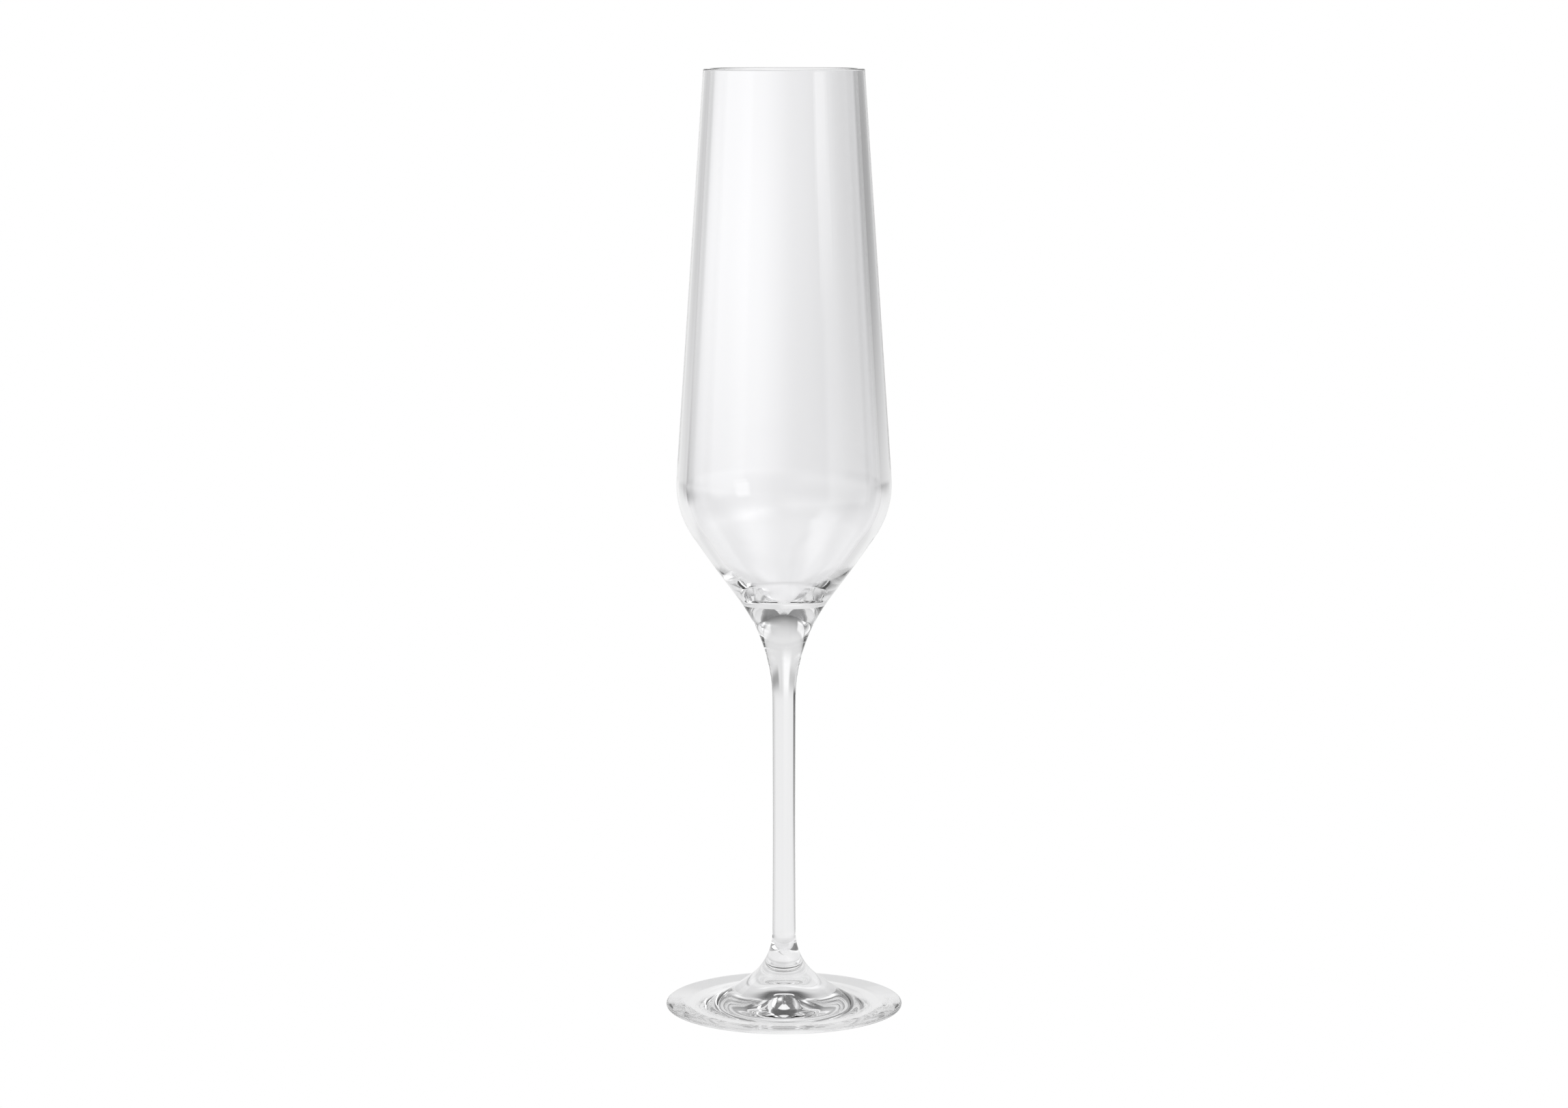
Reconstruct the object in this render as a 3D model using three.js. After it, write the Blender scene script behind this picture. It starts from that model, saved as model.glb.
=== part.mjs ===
// A stemmed champagne flute in clear crystal: bowl, stem and foot, made apart and fused end to end.
// Each piece is a solid of revolution about Z. Millimetres, +Z up, and the origin is on the table,
// under the middle of the foot.

import * as THREE from 'three';

// Lengths along the axis, which add up to the height of the glass.
const FOOT_HEIGHT = 17.6; // table to the seam between foot and stem
const STEM_LENGTH = 83.4; // seam to seam
const BOWL_LENGTH = 149; // seam under the bowl to the rim

// Bowl, outside: a straight wall that widens downwards, a round shoulder and a cone below it.
const RIM_RADIUS = 21;
const SHOULDER_RADIUS = 28.85; // where wall and cone would meet, unrounded
const SHOULDER_RISE = 33.7; // that corner above the bowl's seam
const SHOULDER_ROUNDING = 24;
const CONE_CROWN = 0.4; // how far the cone swells past a straight line
const CONE_CROWN_RISE = 20.6; // the height of that swelling above the bowl's seam
const CONE_ROUNDING = 140;

// Bowl, inside: the wall thickens downwards, and the inner cone ends in a small flat floor.
const RIM_WALL = 1.95;
const SHOULDER_WALL = 2.9; // measured across, between the corners of outside and inside
const INNER_SHOULDER_ROUNDING = 21;
const INNER_CROWN = 1.55; // how far the inner cone swells past a straight line
const INNER_CROWN_RISE = 18.2; // the height of that swelling above the bowl's seam
const INNER_CONE_ROUNDING = 52;
const FLOOR_RISE = 11; // the floor above the bowl's seam
const FLOOR_RADIUS = 7.4; // unrounded
const FLOOR_ROUNDING = 3.5;
const RIM_ROUNDING = 0.5;

// Stem: slimmest at its waist, and widening into the bowl's cone at its top.
const STEM_RADIUS = 3.12; // at either end, before it flares
const WAIST_RADIUS = 2.95;
const WAIST_RISE = 30.4; // above the foot's seam
const WAIST_ROUNDING = 3000;
const NECK_DROP = 2.1; // where stem and cone would meet, below the bowl's seam
const NECK_ROUNDING = 46;

// Foot: a boss that flares into a thin, nearly flat disc with a rounded edge.
const FOOT_RADIUS = 31.5;
const FLARE_DROP = 4.4; // where stem and flare would meet, below the foot's seam
const FLARE_ROUNDING = 15.5;
const DISC_RADIUS = 18.2; // where flare and disc would meet
const DISC_ROUNDING = 22;
const DISC_HEIGHT = 2.05; // top of the disc there
const EDGE_HEIGHT = 1.95; // top of the disc at its edge
const EDGE_ROUNDING = 0.9;
const EDGE_LIFT = 1.05; // underside of the edge above the table
const LOWER_EDGE_ROUNDING = 0.35;

// Underside of the foot: a flat ring that stands on the table, a hardly rising stretch inside it, and
// a round hollow in the middle.
const RING_INSET = 6.2; // from the foot's edge to the outside of the flat ring
const RING_WIDTH = 3.5;
const RING_ROUNDING = 10;
const HOLLOW_RADIUS = 9; // unrounded
const HOLLOW_ROUNDING = 54;
const HOLLOW_LIFT = 0.4; // where the hollow begins, above the table
const CROWN_RADIUS = 2.6; // of the hollow's level top, unrounded
const CROWN_ROUNDING = 16;
const CROWN_LIFT = 2.35; // above the table

// How finely the round stretches are faceted.
const CHORD_ERROR = 0.01; // the most that a straight step of an outline strays from its arc
const TURN_STEPS = 48;

// Heights above the table.
const footSeam = FOOT_HEIGHT;
const bowlSeam = footSeam + STEM_LENGTH;
const rimHeight = bowlSeam + BOWL_LENGTH;

// A point of an outline: distance from the axis, height, and the radius its corner is rounded to.
function corner(radius, height, rounding = 0) {
  return { at: new THREE.Vector2(radius, height), rounding };
}

// Half of what a corner leaves between its two straights, in radians.
function halfTurn(before, here, after) {
  const arriving = here.at.clone().sub(before.at);
  const leaving = after.at.clone().sub(here.at);
  return Math.abs(Math.atan2(arriving.cross(leaving), arriving.dot(leaving))) / 2;
}

// How far each corner's arc reaches along its straights. Two arcs that want more than the straight
// between them share it.
function arcReaches(corners) {
  const wanted = corners.map((here, i) => {
    if (!here.rounding) return 0;
    return here.rounding * Math.tan(halfTurn(corners[i - 1], here, corners[i + 1]));
  });
  const shares = corners.slice(1).map((here, i) => {
    const straight = here.at.distanceTo(corners[i].at);
    return Math.min(1, straight / Math.max(wanted[i] + wanted[i + 1], 1e-9));
  });
  return wanted.map((reach, i) => reach * Math.min(shares[i - 1] ?? 1, shares[i] ?? 1));
}

// The outline through the corners, as points, with every rounded corner drawn as a circular arc.
function roundedOutline(corners) {
  const reaches = arcReaches(corners);
  return corners.flatMap((here, i) => {
    const reach = reaches[i];
    if (!reach) return [here.at.clone()];
    const half = halfTurn(corners[i - 1], here, corners[i + 1]);
    const radius = reach / Math.tan(half);
    const start = here.at.clone().lerp(corners[i - 1].at, reach / here.at.distanceTo(corners[i - 1].at));
    const end = here.at.clone().lerp(corners[i + 1].at, reach / here.at.distanceTo(corners[i + 1].at));
    const middle = start.clone().add(end).multiplyScalar(0.5);
    const outwards = middle.clone().sub(here.at).normalize();
    const centre = here.at.clone().addScaledVector(outwards, radius / Math.cos(half));
    const steps = Math.max(2, Math.ceil(half / Math.acos(1 - CHORD_ERROR / radius)));
    const sweep = Math.sign(start.clone().sub(centre).cross(end.clone().sub(centre))) * 2 * half;
    return Array.from({ length: steps + 1 }, (_, k) =>
      start.clone().rotateAround(centre, (sweep * k) / steps));
  });
}

// The radius at which an outline crosses a height.
function radiusAt(outline, height) {
  for (let i = 1; i < outline.length; i += 1) {
    const [from, to] = [outline[i - 1], outline[i]];
    if ((from.y - height) * (to.y - height) <= 0 && from.y !== to.y) {
      return from.x + ((to.x - from.x) * (height - from.y)) / (to.y - from.y);
    }
  }
  throw new Error(`The outline never reaches a height of ${height} mm.`);
}

// Where an outline crosses a height, as a point.
function crossing(outline, height) {
  return new THREE.Vector2(radiusAt(outline, height), height);
}

// The points of an outline between two heights, without its crossings of them.
function between(outline, low, high) {
  return outline.filter((point) => point.y > low && point.y < high);
}

// The whole outside above the foot's edge, in one line from edge to rim, so that the pieces flow
// into each other at the seams.
function outsideOutline() {
  const neck = corner(STEM_RADIUS, bowlSeam - NECK_DROP, NECK_ROUNDING);
  const shoulder = corner(SHOULDER_RADIUS, bowlSeam + SHOULDER_RISE, SHOULDER_ROUNDING);
  const crownHeight = bowlSeam + CONE_CROWN_RISE;
  const crownRadius = radiusAt([neck.at, shoulder.at], crownHeight) + CONE_CROWN;
  return roundedOutline([
    corner(FOOT_RADIUS, EDGE_HEIGHT / 2 + EDGE_LIFT / 2),
    corner(FOOT_RADIUS, EDGE_HEIGHT, EDGE_ROUNDING),
    corner(DISC_RADIUS, DISC_HEIGHT, DISC_ROUNDING),
    corner(STEM_RADIUS, footSeam - FLARE_DROP, FLARE_ROUNDING),
    corner(WAIST_RADIUS, footSeam + WAIST_RISE, WAIST_ROUNDING),
    neck,
    corner(crownRadius, crownHeight, CONE_ROUNDING),
    shoulder,
    corner(RIM_RADIUS, rimHeight, RIM_ROUNDING),
    corner(RIM_RADIUS - RIM_WALL / 2, rimHeight),
  ]);
}

// The inside of the bowl, from the middle of the rim down to the axis.
function insideOutline() {
  const shoulderRadius = SHOULDER_RADIUS - SHOULDER_WALL;
  const shoulder = corner(shoulderRadius, bowlSeam + SHOULDER_RISE, INNER_SHOULDER_ROUNDING);
  const floor = corner(FLOOR_RADIUS, bowlSeam + FLOOR_RISE, FLOOR_ROUNDING);
  const crownHeight = bowlSeam + INNER_CROWN_RISE;
  const crownRadius = radiusAt([shoulder.at, floor.at], crownHeight) + INNER_CROWN;
  return roundedOutline([
    corner(RIM_RADIUS - RIM_WALL / 2, rimHeight),
    corner(RIM_RADIUS - RIM_WALL, rimHeight, RIM_ROUNDING),
    shoulder,
    corner(crownRadius, crownHeight, INNER_CONE_ROUNDING),
    floor,
    corner(0, bowlSeam + FLOOR_RISE),
  ]);
}

// The underside of the foot, from the axis to the edge.
function undersideOutline() {
  const ringRadius = FOOT_RADIUS - RING_INSET;
  return roundedOutline([
    corner(0, CROWN_LIFT),
    corner(CROWN_RADIUS, CROWN_LIFT, CROWN_ROUNDING),
    corner(HOLLOW_RADIUS, HOLLOW_LIFT, HOLLOW_ROUNDING),
    corner(ringRadius - RING_WIDTH, 0, RING_ROUNDING),
    corner(ringRadius, 0),
    corner(FOOT_RADIUS, EDGE_LIFT, LOWER_EDGE_ROUNDING),
    corner(FOOT_RADIUS, EDGE_HEIGHT / 2 + EDGE_LIFT / 2),
  ]);
}

// Clear lead-free crystal, the same in all three pieces.
function crystal() {
  return new THREE.MeshStandardMaterial({
    color: 0xf4f7f8,
    roughness: 0.02,
    metalness: 0,
    transparent: true,
    opacity: 0.3,
  });
}

// A solid of revolution from a closed outline that goes up on the outside.
function turned(name, outline) {
  const mesh = new THREE.Mesh(new THREE.LatheGeometry(outline, TURN_STEPS), crystal());
  // The lathe turns about Y, and the glass stands along Z.
  mesh.geometry.rotateX(Math.PI / 2);
  mesh.name = name;
  return mesh;
}

const outside = outsideOutline();

const foot = turned('foot', [
  ...undersideOutline(),
  ...between(outside, 0, footSeam),
  crossing(outside, footSeam),
  new THREE.Vector2(0, footSeam),
]);

const stem = turned('stem', [
  new THREE.Vector2(0, footSeam),
  crossing(outside, footSeam),
  ...between(outside, footSeam, bowlSeam),
  crossing(outside, bowlSeam),
  new THREE.Vector2(0, bowlSeam),
]);

const bowl = turned('bowl', [
  new THREE.Vector2(0, bowlSeam),
  crossing(outside, bowlSeam),
  ...between(outside, bowlSeam, rimHeight),
  ...insideOutline(),
]);

const flute = new THREE.Group();
flute.add(foot, stem, bowl);

export default flute;
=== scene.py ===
# %% [markdown]
# # A champagne flute in clear crystal
#
# The glass is three turned pieces: a bowl, a thin stem and a foot, which a glassmaker fuses while
# they are hot. Clear glass has no colour of its own, so everything the eye sees in it is the room,
# bent by the curve of its surfaces and mirrored on them. Two things therefore decide how it looks:
# surfaces that are perfectly smooth and true to shape, and a studio worth mirroring.
#
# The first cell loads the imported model, which fixes every size and place.

import math

import bpy
import numpy as np
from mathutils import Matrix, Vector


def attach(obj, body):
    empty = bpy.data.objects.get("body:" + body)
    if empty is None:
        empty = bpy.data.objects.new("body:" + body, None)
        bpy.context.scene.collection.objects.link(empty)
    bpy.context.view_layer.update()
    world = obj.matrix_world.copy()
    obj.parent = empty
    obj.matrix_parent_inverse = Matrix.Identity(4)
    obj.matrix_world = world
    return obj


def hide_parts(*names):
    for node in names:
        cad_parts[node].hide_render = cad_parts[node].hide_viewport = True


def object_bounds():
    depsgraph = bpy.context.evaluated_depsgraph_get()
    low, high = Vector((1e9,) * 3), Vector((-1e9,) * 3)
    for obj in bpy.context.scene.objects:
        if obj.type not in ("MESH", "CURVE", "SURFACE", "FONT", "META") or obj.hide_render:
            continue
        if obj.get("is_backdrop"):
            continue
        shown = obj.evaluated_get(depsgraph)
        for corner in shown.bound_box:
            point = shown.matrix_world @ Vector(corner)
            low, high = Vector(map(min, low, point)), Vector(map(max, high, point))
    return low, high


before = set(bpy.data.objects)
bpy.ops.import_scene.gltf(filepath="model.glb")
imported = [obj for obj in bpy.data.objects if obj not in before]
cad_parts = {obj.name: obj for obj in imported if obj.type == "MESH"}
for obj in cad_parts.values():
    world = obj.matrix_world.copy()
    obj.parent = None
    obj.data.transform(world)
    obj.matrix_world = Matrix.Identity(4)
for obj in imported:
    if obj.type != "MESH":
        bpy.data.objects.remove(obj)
cad_low, cad_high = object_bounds()
height = cad_high[2] - cad_low[2]
print("CAD nodes:", ", ".join(sorted(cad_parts)))
print(f"height {height * 1000:.1f} mm, width {(cad_high[0] - cad_low[0]) * 1000:.1f} mm")

# %% [markdown]
# ## Reading the outline of a turned piece
#
# Each CAD node is faceted: 48 flat sides around, and a few straight steps in every curve. Glass
# shows such facets at once. But a turned piece is fully described by its outline, the line that was
# spun round the axis, and the node still holds that line: the corners that lie in the half plane
# through the axis and +X. This cell walks along the edges there, from one end of the line to the
# other, and returns its points as distance from the axis and height.

# %% Outlines from the CAD nodes
IN_PLANE = 1e-6  # metres


def outline_of(node):
    """The outline of a turned node as an array of (radius, height), from axis to axis."""
    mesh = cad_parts[node].data
    points = [tuple(round(c, 7) for c in vertex.co) for vertex in mesh.vertices]
    in_half_plane = [abs(y) < IN_PLANE and x > -IN_PLANE for x, y, z in points]
    neighbours = {}
    for edge in mesh.edges:
        a, b = edge.vertices
        if in_half_plane[a] and in_half_plane[b]:
            start, end = points[a][::2], points[b][::2]
            if max(start[0], end[0]) > IN_PLANE and start != end:
                neighbours.setdefault(start, set()).add(end)
                neighbours.setdefault(end, set()).add(start)
    here = min(point for point in neighbours if len(neighbours[point]) == 1)
    walk = [here]
    while True:
        ahead = neighbours[here] - set(walk)
        if not ahead:
            break
        here = ahead.pop()
        walk.append(here)
    return np.array(walk)


outlines = {node: outline_of(node) for node in ("foot", "stem", "bowl")}
for node, line in outlines.items():
    print(f"{node}: {len(line)} points, widest {line[:, 0].max() * 1000:.2f} mm from the axis")

# %% [markdown]
# ## One smooth line from underfoot to the floor of the bowl
#
# The outside flows across the two seams without a break, so the three outlines are first joined
# into one line. Then every straight step is replaced by a short curve that leaves each corner in
# the direction of its neighbours. The longer neighbour counts most, because a long step is a truly
# straight stretch, and next to it the curve has to start straight. Where the line turns sharply it
# keeps its corner. Last, the fine line is held inside the box of the line it came from, so that no
# curve bulges past the CAD's size or under the table.

# %% The smooth line
SHARP_TURN = math.radians(35)
FINE_TURN = math.radians(1.2)  # each step of the fine line turns by about this much
LONGEST_STEP = 0.0025  # metres, on straight stretches


def directions_at(line):
    """The direction in which the smooth line arrives at and leaves each point."""
    chords = np.diff(line, axis=0)
    straight = chords / np.linalg.norm(chords, axis=1)[:, None]
    through = chords[:-1] + chords[1:]
    through /= np.linalg.norm(through, axis=1)[:, None]
    turn = np.arccos(np.clip((straight[:-1] * straight[1:]).sum(1), -1, 1))
    arriving = np.vstack([straight[:1], through, straight[-1:]])
    leaving = arriving.copy()
    for point in np.flatnonzero(turn > SHARP_TURN) + 1:
        arriving[point] = straight[point - 1]
        leaving[point] = straight[point]
    return arriving, leaving, straight


def smooth_line(line):
    """A fine line through all the points, curved between them as a turned outline is."""
    arriving, leaving, straight = directions_at(line)
    fine = [line[:1]]
    for i, (start, end) in enumerate(zip(line[:-1], line[1:])):
        length = np.linalg.norm(end - start)
        bend = math.acos(min(1, leaving[i] @ arriving[i + 1]))
        steps = max(1, math.ceil(bend / FINE_TURN), math.ceil(length / LONGEST_STEP))
        t = (np.arange(1, steps + 1) / steps)[:, None]
        pull = length * (1 + bend**2 / 24)
        fine.append(
            (2 * t**3 - 3 * t**2 + 1) * start
            + (t**3 - 2 * t**2 + t) * leaving[i] * pull
            + (3 * t**2 - 2 * t**3) * end
            + (t**3 - t**2) * arriving[i + 1] * pull
        )
    return np.clip(np.vstack(fine), line.min(axis=0), line.max(axis=0))


foot_seam = outlines["stem"][0][1]
bowl_seam = outlines["bowl"][0][1]
whole = smooth_line(
    np.vstack([outlines["foot"][:-2], outlines["stem"][2:-2], outlines["bowl"][2:]])
)
print(f"seams at {foot_seam * 1000:.1f} and {bowl_seam * 1000:.1f} mm, {len(whole)} points in all")

# %% [markdown]
# The fine line is then cut level at the seams again. Each piece closes itself with a flat disc
# there, and the two discs of a seam lie face to face.

# %% Cutting the line into three


def cut(line, level):
    """Where the outside first rises past a level: the next point's index, and the crossing."""
    after = int(np.argmax(line[:, 1] > level))
    (r0, z0), (r1, z1) = line[after - 1], line[after]
    return after, (r0 + (r1 - r0) * (level - z0) / (z1 - z0), level)


above_foot, foot_crossing = cut(whole, foot_seam)
above_stem, bowl_crossing = cut(whole, bowl_seam)
fine_outlines = {
    "foot": np.vstack([whole[:above_foot], foot_crossing, (0, foot_seam)]),
    "stem": np.vstack(
        [(0, foot_seam), foot_crossing, whole[above_foot:above_stem], bowl_crossing, (0, bowl_seam)]
    ),
    "bowl": np.vstack([(0, bowl_seam), bowl_crossing, whole[above_stem:]]),
}
for node, line in fine_outlines.items():
    print(f"{node}: {len(outlines[node])} points became {len(line)}")

# %% [markdown]
# ## A helper for building node trees
#
# Geometry and materials below are both described by node trees. A tree is easier to read when one
# line says what a node is, what feeds it and how it is set, so this helper adds a node that way
# and hands back its outputs.

# %% One line for one node


def add_node(tree, kind, *sources, **settings):
    """Add a node of this kind with its settings, fed in order by sockets or by plain values."""
    made = tree.nodes.new(kind)
    for name, value in settings.items():
        setattr(made, name, value)
    open_inputs = [socket for socket in made.inputs if socket.enabled]
    for socket, source in zip(open_inputs, sources):
        if isinstance(source, bpy.types.NodeSocket):
            tree.links.new(source, socket)
        elif source is not None:
            socket.default_value = source
    return [socket for socket in made.outputs if socket.enabled]


def new_group(name, kind, inputs, outputs):
    """An empty node group with named inputs and outputs, and the two ends to connect to."""
    tree = bpy.data.node_groups.new(name, kind)
    for in_out, sockets in (("INPUT", inputs), ("OUTPUT", outputs)):
        for socket_name, socket_kind in sockets.items():
            tree.interface.new_socket(
                socket_name, in_out=in_out, socket_type=f"NodeSocket{socket_kind}"
            )
    given = tree.nodes.new("NodeGroupInput").outputs
    result = tree.nodes.new("NodeGroupOutput").inputs
    return tree, given, result


def math_in(tree):
    """A shorthand for Math nodes in one tree."""

    def math_of(operation, *sources):
        return add_node(tree, "ShaderNodeMath", *sources, operation=operation)[0]

    return math_of


print("helpers:", add_node.__name__, new_group.__name__, math_in.__name__)

# %% [markdown]
# ## Turning an outline into glass
#
# A lathe follows one rule: take a line and spin it. Geometry Nodes can hold that rule as a tree. A
# grid has one column of vertices for each step around the axis and one row for each point of the
# outline. Every vertex looks up its row's point in the outline and its column's angle, and moves
# there. Merging by distance then closes the seam of the turn and the two poles on the axis. The
# two ends of a fused piece get their own material, which the tree finds as the level faces that
# lie at a seam's height.

# %% The lathe as a Geometry Nodes tree
STEPS_AROUND = 192
WELD = 1e-7  # metres
LEVEL_FACING = 0.9999  # how nearly straight up or down a level face looks


def lathe_tree():
    """A tree that spins the incoming outline, whose points are (radius, 0, height), about Z."""
    tree, given, result = new_group(
        "lathe",
        "GeometryNodeTree",
        {
            "Outline": "Geometry",
            "Steps Around": "Int",
            "Glass": "Material",
            "Fused Face": "Material",
            "Lower Seam": "Float",
            "Upper Seam": "Float",
        },
        {"Turned Piece": "Geometry"},
    )
    math_of = math_in(tree)

    rows = add_node(tree, "GeometryNodeAttributeDomainSize", given["Outline"])[0]
    columns = math_of("ADD", given["Steps Around"], 1)
    grid = add_node(tree, "GeometryNodeMeshGrid", 1, 1, columns, rows)[0]
    index = add_node(tree, "GeometryNodeInputIndex")[0]
    row = math_of("MODULO", index, rows)
    column = math_of("FLOOR", math_of("DIVIDE", math_of("ADD", index, 0.5), rows))
    angle = math_of("MULTIPLY", math_of("DIVIDE", column, given["Steps Around"]), math.tau)

    place = add_node(tree, "GeometryNodeInputPosition")[0]
    point = add_node(
        tree, "GeometryNodeSampleIndex", given["Outline"], place, row, data_type="FLOAT_VECTOR"
    )[0]
    radius, _, rise = add_node(tree, "ShaderNodeSeparateXYZ", point)
    x = math_of("MULTIPLY", radius, math_of("COSINE", angle))
    y = math_of("MULTIPLY", radius, math_of("SINE", angle))
    turned = add_node(tree, "ShaderNodeCombineXYZ", x, y, rise)[0]
    placed = add_node(tree, "GeometryNodeSetPosition", grid, True, turned)[0]
    closed = add_node(tree, "GeometryNodeMergeByDistance", placed, True, WELD)[0]
    smooth = add_node(tree, "GeometryNodeSetShadeSmooth", closed, True, True)[0]

    normal = add_node(tree, "GeometryNodeInputNormal")[0]
    _, _, facing = add_node(tree, "ShaderNodeSeparateXYZ", normal)
    _, _, level = add_node(tree, "ShaderNodeSeparateXYZ", place)
    is_level = math_of("GREATER_THAN", math_of("ABSOLUTE", facing), LEVEL_FACING)
    at_seam = math_of(
        "MAXIMUM",
        math_of("COMPARE", level, given["Lower Seam"], WELD),
        math_of("COMPARE", level, given["Upper Seam"], WELD),
    )
    fused = math_of("MULTIPLY", is_level, at_seam)
    plain = add_node(tree, "GeometryNodeRealizeInstances", smooth)[0]
    in_glass = add_node(tree, "GeometryNodeSetMaterial", plain, True, given["Glass"])[0]
    finished = add_node(tree, "GeometryNodeSetMaterial", in_glass, fused, given["Fused Face"])[0]
    tree.links.new(finished, result["Turned Piece"])
    return tree


lathe = lathe_tree()
print(f"lathe: {len(lathe.nodes)} nodes, {STEPS_AROUND} steps around")

# %% [markdown]
# ## Crystal
#
# A clear material needs very little: light enters, bends by the glass's index, and leaves. The
# Principled shader does that with its transmission turned fully up. What separates real crystal
# from a formula is how its surface was made. Fire polishing leaves long, very low waves, and
# handling leaves a haze that is too faint to see as such but takes the hardness off reflections.
# All three pieces are the same glass, so one node group holds both effects, and each piece has its
# own values: the blown bowl waves most, and the pressed foot least.

# %% The surface of fire-polished glass


def fire_polish_group():
    """Low waves for a Bump's Height, and a faint haze for Roughness."""
    tree, given, result = new_group(
        "fire polish",
        "ShaderNodeTree",
        {"Wave Scale": "Float", "Wave Height": "Float", "Haze": "Float"},
        {"Height": "Float", "Roughness": "Float"},
    )
    math_of = math_in(tree)
    place = tree.nodes.new("ShaderNodeTexCoord").outputs["Object"]
    waves = add_node(tree, "ShaderNodeTexNoise", place, given["Wave Scale"], 0)[0]
    tree.links.new(math_of("MULTIPLY", waves, given["Wave Height"]), result["Height"])
    tree.links.new(math_of("MULTIPLY", waves, given["Haze"]), result["Roughness"])
    return tree


fire_polish = fire_polish_group()
print("fire polish:", ", ".join(socket.name for socket in fire_polish.interface.items_tree))

# %% [markdown]
# The index of refraction is that of lead-free crystal. The tint is a trace of blue, which shows
# only where light crosses many surfaces on its way. Wave heights are in metres: the bowl's waves
# are a few thousandths of a millimetre high.

# %% The crystal of each piece
CRYSTAL_INDEX = 1.5
CRYSTAL_TINT = (0.993, 0.993, 1, 1)


def crystal(piece, wave_scale, wave_height, haze):
    """The glass of one piece: plain transmission, with fire polish on its surface."""
    material = bpy.data.materials.new(f"{piece} crystal")
    material.use_nodes = True
    nodes, links = material.node_tree.nodes, material.node_tree.links
    glass = nodes["Principled BSDF"]
    glass.inputs["Base Color"].default_value = CRYSTAL_TINT
    glass.inputs["IOR"].default_value = CRYSTAL_INDEX
    glass.inputs["Transmission Weight"].default_value = 1
    polish = nodes.new("ShaderNodeGroup")
    polish.node_tree = fire_polish
    polish.inputs["Wave Scale"].default_value = wave_scale
    polish.inputs["Wave Height"].default_value = wave_height
    polish.inputs["Haze"].default_value = haze
    bump = nodes.new("ShaderNodeBump")
    bump.inputs["Distance"].default_value = 1  # so that the height is in metres
    links.new(polish.outputs["Height"], bump.inputs["Height"])
    links.new(bump.outputs["Normal"], glass.inputs["Normal"])
    links.new(polish.outputs["Roughness"], glass.inputs["Roughness"])
    return material


crystals = {
    "foot": crystal("foot", wave_scale=60, wave_height=5e-7, haze=0.004),
    "stem": crystal("stem", wave_scale=40, wave_height=1e-6, haze=0.004),
    "bowl": crystal("bowl", wave_scale=30, wave_height=3e-6, haze=0.004),
}
print("crystals:", ", ".join(material.name for material in crystals.values()))

# %% [markdown]
# ## The fused faces
#
# Where two pieces are fused there is no surface left: light crosses from glass into glass without
# bending. The two discs that close the pieces are still there in the model, so that each piece is
# a solid of its own. They get a material that lets light straight through.

# %% Glass fused to glass
fused_face = bpy.data.materials.new("fused face")
fused_face.use_nodes = True
fused_nodes = fused_face.node_tree.nodes
fused_nodes.remove(fused_nodes["Principled BSDF"])
straight_through = fused_nodes.new("ShaderNodeBsdfTransparent")
fused_face.node_tree.links.new(
    straight_through.outputs["BSDF"], fused_nodes["Material Output"].inputs["Surface"]
)
print("fused face:", straight_through.bl_idname)

# %% [markdown]
# ## The three pieces
#
# Each outline becomes a thin mesh of edges that carries the lathe as a modifier. Its result is then
# kept as a plain mesh. Faces shade smoothly into each other, except across a real corner such as
# the edge of a fused disc. Every piece rides on the glass's one body and stands in for its CAD
# node.

# %% Turning the pieces
REAL_CORNER = math.radians(50)
NOWHERE = -1.0  # a height that no face has


def turned_piece(node, lower_seam, upper_seam):
    """The finished piece of glass for a CAD node."""
    line = fine_outlines[node]
    outline = bpy.data.meshes.new(f"{node} outline")
    steps = [(i, i + 1) for i in range(len(line) - 1)]
    outline.from_pydata([(radius, 0, rise) for radius, rise in line], steps, [])
    source = bpy.data.objects.new(f"{node} outline", outline)
    bpy.context.scene.collection.objects.link(source)
    modifier = source.modifiers.new("lathe", "NODES")
    modifier.node_group = lathe
    values = {
        "Steps Around": STEPS_AROUND,
        "Glass": crystals[node],
        "Fused Face": fused_face,
        "Lower Seam": float(lower_seam),
        "Upper Seam": float(upper_seam),
    }
    for socket in lathe.interface.items_tree:
        if socket.name in values:
            modifier[socket.identifier] = values[socket.name]
    evaluated = source.evaluated_get(bpy.context.evaluated_depsgraph_get())
    mesh = bpy.data.meshes.new_from_object(evaluated)
    bpy.data.objects.remove(source)
    if mesh.materials[0] is None:
        mesh.materials.pop(index=0)
    mesh.set_sharp_from_angle(angle=REAL_CORNER)
    piece = bpy.data.objects.new(f"{node}_glass", mesh)
    bpy.context.scene.collection.objects.link(piece)
    return piece


seams = {
    "foot": (NOWHERE, foot_seam),
    "stem": (foot_seam, bowl_seam),
    "bowl": (bowl_seam, NOWHERE),
}
for node, (lower_seam, upper_seam) in seams.items():
    piece = turned_piece(node, lower_seam, upper_seam)
    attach(piece, "root")
    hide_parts(node)
    print(f"{piece.name}: {len(piece.data.polygons)} faces")

# %% [markdown]
# ## The studio
#
# Clear glass is lit by its surroundings. Every bright or dark stroke in it is the image of a card,
# a lamp or a wall, bent by the outline or mirrored on it. A photographer lights glass by standing
# such cards around it: a pale backdrop, a white table, soft boxes to the left and right, and dark
# flags that draw the edges. Here the cards hang on the world's far sphere, where they need no
# meshes. Each one is a soft-edged rectangle that is placed by its azimuth, 0 behind the glass and
# positive to the right, and its elevation, both in degrees. It covers what lies behind it with its
# own brightness.

# %% One studio card


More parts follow.
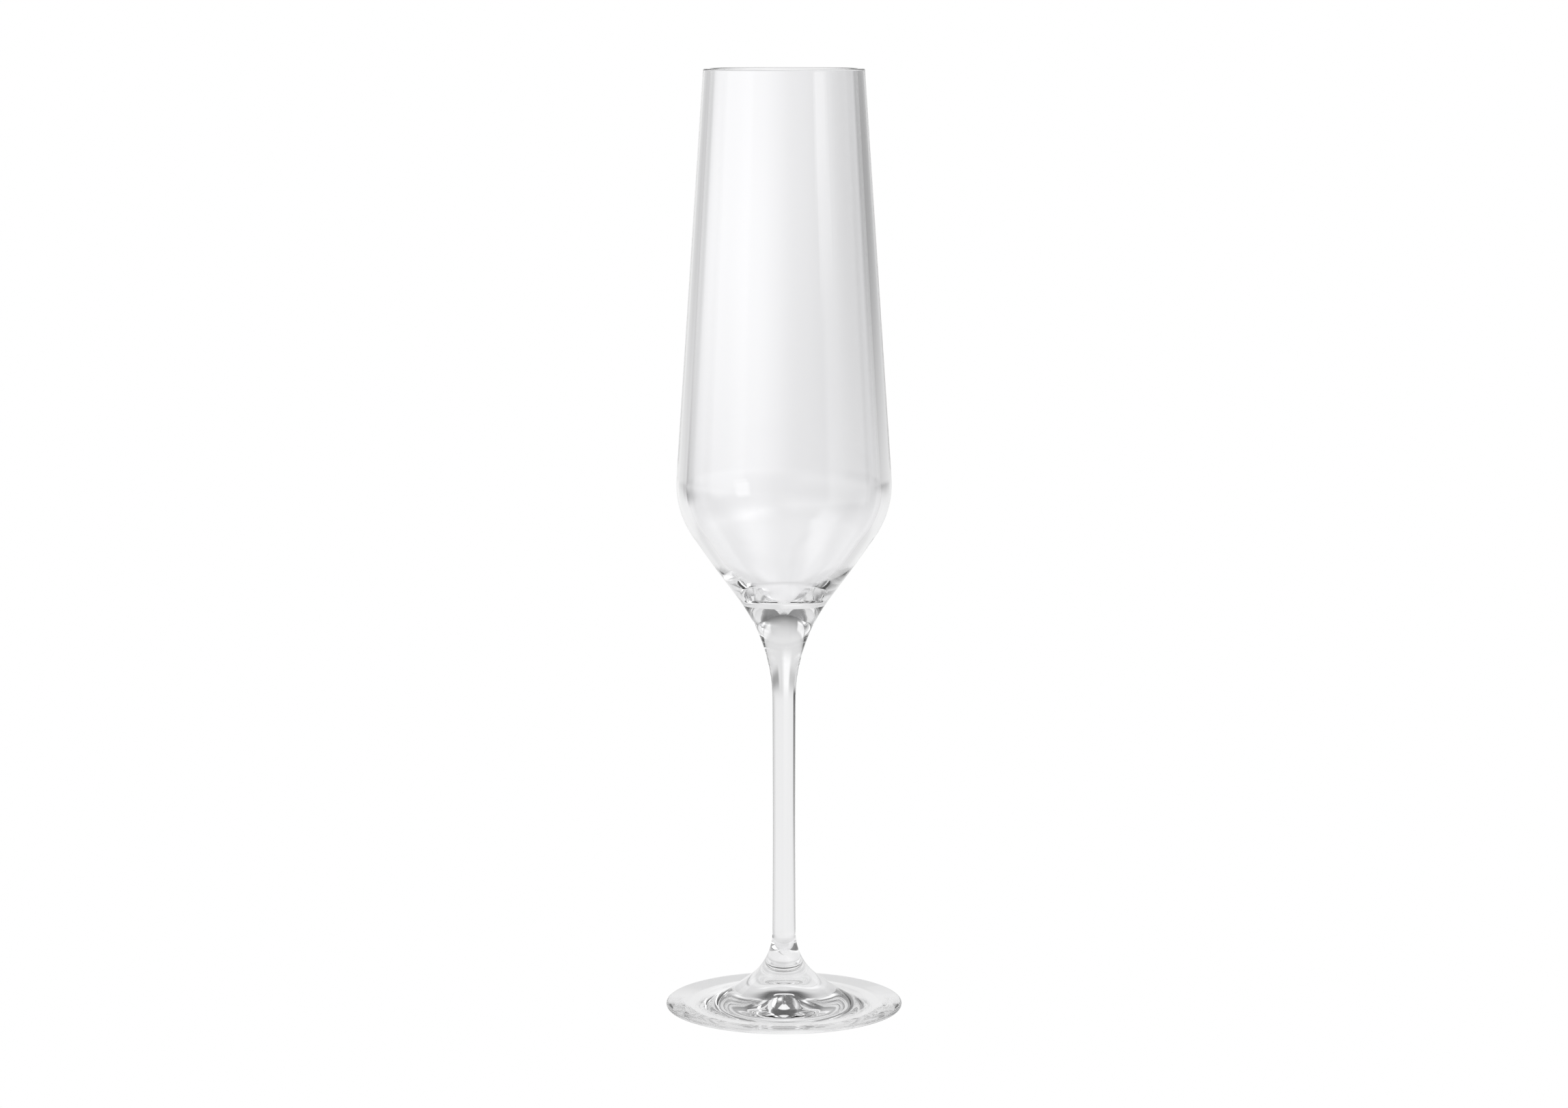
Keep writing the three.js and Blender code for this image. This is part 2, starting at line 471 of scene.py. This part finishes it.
def card_group():
    """A soft-edged card on the world's sphere, laid over the light that lies behind it."""
    sizes = ("Behind", "Azimuth", "Elevation", "Half Width", "Half Height", "Softness", "Level")
    tree, given, result = new_group(
        "studio card", "ShaderNodeTree", {name: "Float" for name in sizes}, {"Light": "Float"}
    )
    math_of = math_in(tree)

    def covered(distance, half):
        """1 inside the card, falling smoothly to 0 across its soft edge."""
        nearest = math_of("SUBTRACT", half, given["Softness"])
        farthest = math_of("ADD", half, given["Softness"])
        return add_node(
            tree,
            "ShaderNodeMapRange",
            *(distance, nearest, farthest, 1, 0),
            interpolation_type="SMOOTHSTEP",
        )[0]

    look = tree.nodes.new("ShaderNodeTexCoord").outputs["Generated"]
    right, away, up = add_node(tree, "ShaderNodeSeparateXYZ", look)
    azimuth = math_of("DEGREES", math_of("ARCTAN2", right, away))
    elevation = math_of("DEGREES", math_of("ARCSINE", up))
    around = math_of("WRAP", math_of("SUBTRACT", azimuth, given["Azimuth"]), 180, -180)
    above = math_of("SUBTRACT", elevation, given["Elevation"])
    mask = math_of(
        "MULTIPLY",
        covered(math_of("ABSOLUTE", around), given["Half Width"]),
        covered(math_of("ABSOLUTE", above), given["Half Height"]),
    )
    change = math_of("SUBTRACT", given["Level"], given["Behind"])
    tree.links.new(math_of("MULTIPLY_ADD", mask, change, given["Behind"]), result["Light"])
    return tree


studio_card = card_group()
print("studio card:", ", ".join(socket.name for socket in studio_card.interface.items_tree))

# %% [markdown]
# The cards are laid over the room one after another, so a later card covers an earlier one. A level
# of 1 is as bright as white paper, a lamp is brighter, and a flag of black cloth is close to 0.
#
# - The table is bright all around below the glass and fades out towards the horizon, except behind
#   the glass, where its far edge has a card of its own. The backdrop rises from there to about 30
#   degrees, and above it the room is dark up to the top light.
# - The glow is the pale stroke down the left half of the bowl. The left and right flags grey the
#   bowl's edges. The right strip is the hard-edged window that the front of the bowl mirrors.
# - Cards to the sides and in front are seen in the solid glass of the cone and the foot, which
#   gathers light from everywhere.

# %% The cards around the glass
ROOM_LEVEL = 0.18
#                 azimuth, elevation, half width, half height, softness, level
CARDS = {
    "table": (-38, -90, 180, 62, 18, 0.9),
    "table right": (94, -42, 54, 8, 3, 0.9),
    "table left": (-82, -33, 62, 4, 10, 1.3),
    "backdrop": (-1, -4, 65, 34, 14, 0.76),
    "table edge": (-6, -15, 46, 7, 3, 0.88),
    "ceiling": (0, 52, 90, 8, 3, 0.12),
    "glow": (-7, 0, 9, 8, 5, 1.03),
    "window right": (37, 28, 16, 5, 3, 0.9),
    "window left": (-33, 31, 12, 6, 2, 1),
    "left softbox": (-103, 47, 20, 12, 8, 1.2),
    "right softbox": (129, 43, 30, 6, 22, 3.5),
    "right wall": (102, -1, 28, 14, 2, 0.75),
    "right strip": (127, 11, 9, 8, 0.8, 1.6),
    "left strip": (-116, 1, 46, 3, 16, 1.2),
    "front table": (148, -15, 34, 3, 16, 1.6),
    "top light": (0, 69, 30, 9, 2, 1),
    "right flag": (38, -1, 22, 3.5, 3, 0.38),
    "left flag": (-31, -1, 14, 3.5, 3, 0.6),
    "far left flag": (-71, -8, 28, 3.5, 3, 0),
}

world = bpy.data.worlds.new("studio")
bpy.context.scene.world = world
world.use_nodes = True
room = world.node_tree
light = ROOM_LEVEL
for name, placing in CARDS.items():
    card = room.nodes.new("ShaderNodeGroup")
    card.node_tree = studio_card
    card.label = name
    if isinstance(light, bpy.types.NodeSocket):
        room.links.new(light, card.inputs["Behind"])
    else:
        card.inputs["Behind"].default_value = light
    for socket, value in zip(list(card.inputs)[1:], placing):
        socket.default_value = value
    light = card.outputs["Light"]
print("cards:", ", ".join(CARDS))

# %% [markdown]
# The camera itself sees plain white in every direction, like the paper of a catalogue, so that
# nothing competes with the glass. Only light that has met the glass sees the cards. The floor is
# the same: white to the camera, and open to the table card below it for everything else.

# %% White around the glass
PAPER_WHITE = 1.0
FLOOR_REACH = 4  # metres from the axis

camera_ray = room.nodes.new("ShaderNodeLightPath").outputs["Is Camera Ray"]
seen = add_node(room, "ShaderNodeMix", camera_ray, light, PAPER_WHITE)[0]
background = room.nodes["Background"]
background.inputs["Color"].default_value = (1, 1, 1, 1)
room.links.new(seen, background.inputs["Strength"])

paper = bpy.data.materials.new("white paper")
paper.use_nodes = True
sheet = paper.node_tree
sheet.nodes.remove(sheet.nodes["Principled BSDF"])
camera_ray = sheet.nodes.new("ShaderNodeLightPath").outputs["Is Camera Ray"]
open_below = add_node(sheet, "ShaderNodeBsdfTransparent")[0]
white = add_node(sheet, "ShaderNodeEmission", (1, 1, 1, 1), PAPER_WHITE)[0]
mixed = add_node(sheet, "ShaderNodeMixShader", camera_ray, open_below, white)[0]
sheet.links.new(mixed, sheet.nodes["Material Output"].inputs["Surface"])

floor_mesh = bpy.data.meshes.new("floor")
around_floor = [(-1, -1), (1, -1), (1, 1), (-1, 1)]
corners = [(x * FLOOR_REACH, y * FLOOR_REACH, 0) for x, y in around_floor]
floor_mesh.from_pydata(corners, [], [range(len(corners))])
floor_mesh.materials.append(paper)
floor = bpy.data.objects.new("floor", floor_mesh)
bpy.context.scene.collection.objects.link(floor)
floor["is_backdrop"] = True
print(f"floor: {2 * FLOOR_REACH} m square, level with the foot")

# %% [markdown]
# ## The camera
#
# A long lens from a metre away keeps the tall glass free of distortion. The camera stands a little
# above the rim and tips down towards the middle of the glass, so the rim shows as a thin line and
# the foot as a wide oval. Colours are shown as they are, without a film curve, so that paper white
# stays white.

# %% The camera
CAMERA_DISTANCE = 1.02355  # metres in front of the axis
CAMERA_HEIGHT = 0.26787
CAMERA_TILT = math.radians(8.06407)  # below level
LENS = 90  # mm, on a 36 mm wide sensor
NEAREST = 0.01  # metres

lens = bpy.data.cameras.new("camera")
lens.lens = LENS
lens.clip_start = NEAREST
camera = bpy.data.objects.new("camera", lens)
bpy.context.scene.collection.objects.link(camera)
camera.location = (0, -CAMERA_DISTANCE, CAMERA_HEIGHT)
camera.rotation_euler = (math.radians(90) - CAMERA_TILT, 0, 0)
bpy.context.scene.camera = camera
bpy.context.scene.view_settings.view_transform = "Standard"
print(f"camera: {CAMERA_DISTANCE:.2f} m away, {CAMERA_HEIGHT / height:.2f} glass heights up")

# %% [markdown]
# ## How far light is followed
#
# Light that meets the inside of the crystal at a shallow angle can't get out. It is turned back,
# again and again, until it meets a face steeply enough. Each turn is a bounce, and a path that
# reaches the limit is drawn black. The usual limit of twelve blackens half of the foot, where light
# runs along inside the thin disc. One more lets most of it out, and only a patch at either side of
# the disc stays dark.

# %% Follow the light through the crystal
BOUNCE_LIMIT = 13
cycles = bpy.context.scene.cycles
cycles.max_bounces = BOUNCE_LIMIT
cycles.transmission_bounces = BOUNCE_LIMIT
cycles.glossy_bounces = BOUNCE_LIMIT
print(f"light is followed for {BOUNCE_LIMIT} bounces")

# %% [markdown]
# ## Sizes
#
# The visual model has to keep the CAD's size, so both boxes are written down side by side.

# %% Printing the boxes
boxes = {
    "cad": [list(cad_low), list(cad_high)],
    "visual": [list(corner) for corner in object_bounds()],
}
for name, (low, high) in boxes.items():
    print(name, " x ".join(f"{(b - a) * 1000:.2f}" for a, b in zip(low, high)), "mm")
